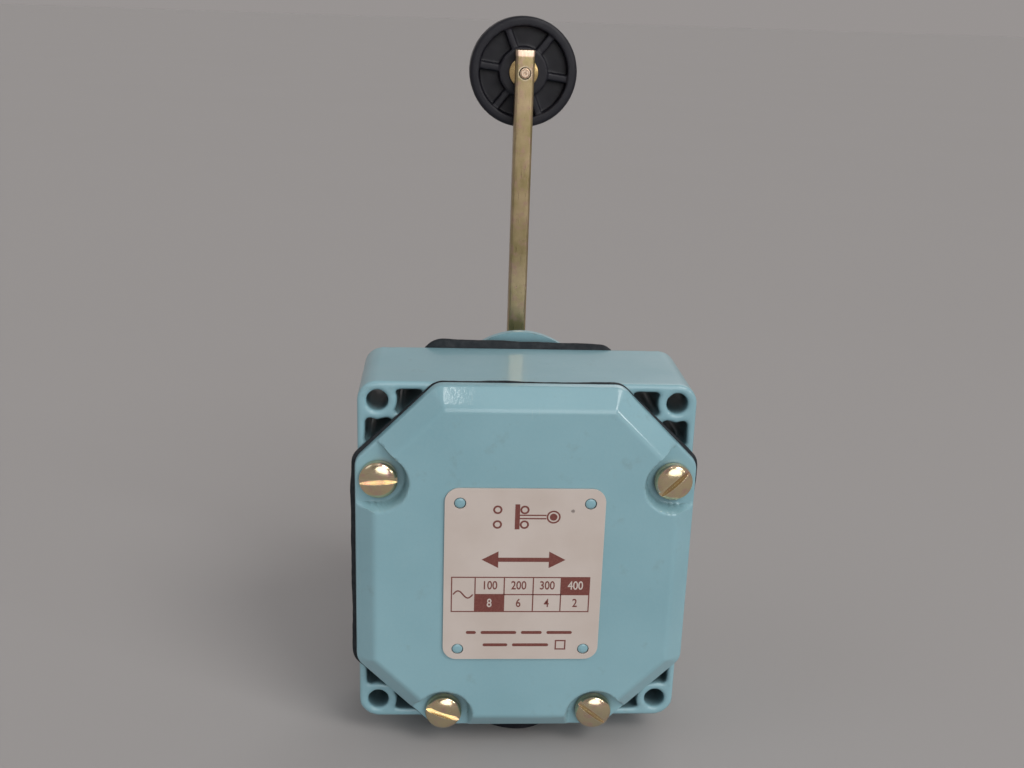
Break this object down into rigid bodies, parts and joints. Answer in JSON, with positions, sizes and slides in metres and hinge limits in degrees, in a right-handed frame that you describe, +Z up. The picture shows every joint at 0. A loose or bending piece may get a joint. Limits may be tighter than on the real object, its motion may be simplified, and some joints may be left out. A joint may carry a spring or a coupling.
{
  "type": "limit switch",
  "caption": "Heavy-duty limit switch: square cast housing, octagonal gasketed cover, spring-return lever with a thermoplastic roller",
  "frame": {"origin": "under the middle of the bounding box, on the flat end of the cable entry's plug", "axes": "+X to the right seen from the front cover, +Y from the front cover back to the lever, +Z up along the lever"},
  "size_m": [0.0874, 0.0808, 0.1882],
  "materials": {
    "paint": "semi-gloss pale turquoise stoving enamel over a zinc die casting",
    "rubber": "matt black moulded rubber",
    "passivated_steel": "yellow-passivated zinc plating with an iridescent tint",
    "brass": "bright turned brass",
    "bronze": "sintered bronze",
    "steel": "zinc-plated steel",
    "plate": "off-white enamelled aluminium with brown-red printing",
    "black_plastic": "satin black thermoplastic",
    "moulding": "dark brown phenolic moulding",
    "white_plastic": "natural acetal"
  },
  "bodies": {
    "body": {"housing": "paint", "front_cover": "paint", "operating_head": "paint", "front_gasket": "rubber", "rear_gasket": "rubber", "shaft_seal": "rubber", "plug_washer": "rubber", "cover_screw_1": "passivated_steel", "cover_screw_2": "passivated_steel", "cover_screw_3": "passivated_steel", "cover_screw_4": "passivated_steel", "head_screw_1": "passivated_steel", "head_screw_2": "passivated_steel", "head_screw_3": "passivated_steel", "head_screw_4": "passivated_steel", "earth_screw": "brass", "fixed_contact_1": "brass", "fixed_contact_2": "brass", "fixed_contact_3": "brass", "fixed_contact_4": "brass", "terminal_screw_1": "brass", "terminal_screw_2": "brass", "terminal_screw_3": "brass", "terminal_screw_4": "brass", "bearing_bush": "bronze", "return_spring": "steel", "plunger_spring": "steel", "block_screw_1": "steel", "block_screw_2": "steel", "rating_plate": "plate", "cable_plug": "black_plastic", "contact_block": "moulding"},
    "lever": {"lever_shaft": "steel", "retaining_ring": "steel", "cam": "steel", "cam_screw": "steel", "lever_hub": "steel", "hub_set_screw": "steel", "lever_clamp_screw": "steel", "lever_bar": "passivated_steel", "roller_washer": "brass", "roller_pin": "passivated_steel"},
    "roller": {"roller": "black_plastic"},
    "plunger": {"plunger": "white_plastic", "contact_bridge": "brass"}
  },
  "joints": [
    {"name": "lever_swing", "type": "hinge", "parent": "body", "child": "lever", "pos_m": [0, 0.00583, 0.0847], "axis": [0, 1, 0], "range_deg": [-60, 60], "stiffness_Nm_per_rad": 0.6},
    {"name": "roller_spin", "type": "hinge", "parent": "lever", "child": "roller", "pos_m": [0, 0.03333, 0.1732], "axis": [0, 1, 0], "continuous": true},
    {"name": "plunger_travel", "type": "slide", "parent": "body", "child": "plunger", "axis": [0, 0, -1], "range_m": [-0.00275, 0.00275], "deforming": ["plunger_spring"]}
  ],
  "couplings": [
    {"joint": "plunger_travel", "follows": "lever_swing", "m_per_rad": 0.0026}
  ]
}
